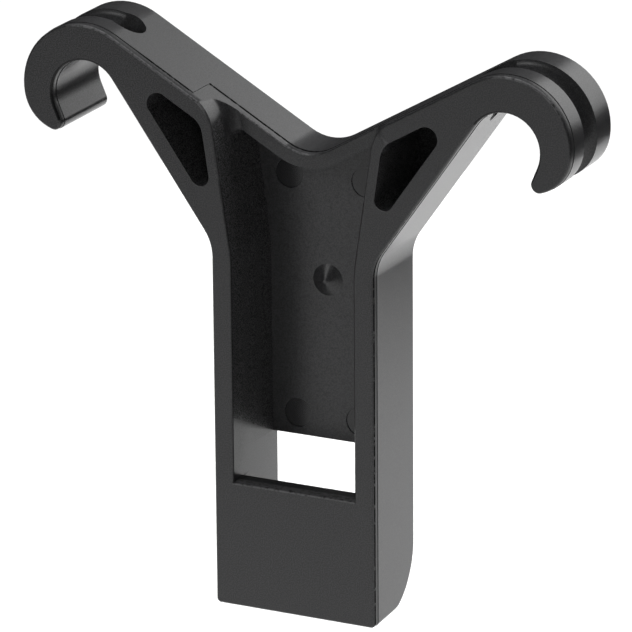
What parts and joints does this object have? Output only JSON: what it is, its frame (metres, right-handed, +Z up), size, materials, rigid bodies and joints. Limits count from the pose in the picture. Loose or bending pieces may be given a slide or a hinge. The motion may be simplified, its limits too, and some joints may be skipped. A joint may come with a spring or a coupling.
{
  "type": "rear light mount",
  "caption": "Y-shaped one-piece moulded mount with two open hooks for saddle rails and a flat plate at its foot for a rear light's clip.",
  "frame": {"origin": "midway between the two rail axes, on the front face", "axes": "+X from the left hook to the right hook seen from the front, +Y from the front face to the back, along the rails, +Z up from the foot to the hooks"},
  "size_m": [0.0576, 0.0095, 0.0571],
  "materials": {
    "moulded_plastic": "black glass-filled nylon, satin as moulded"
  },
  "bodies": {
    "root": {"mount_body": "moulded_plastic"}
  },
  "joints": []
}
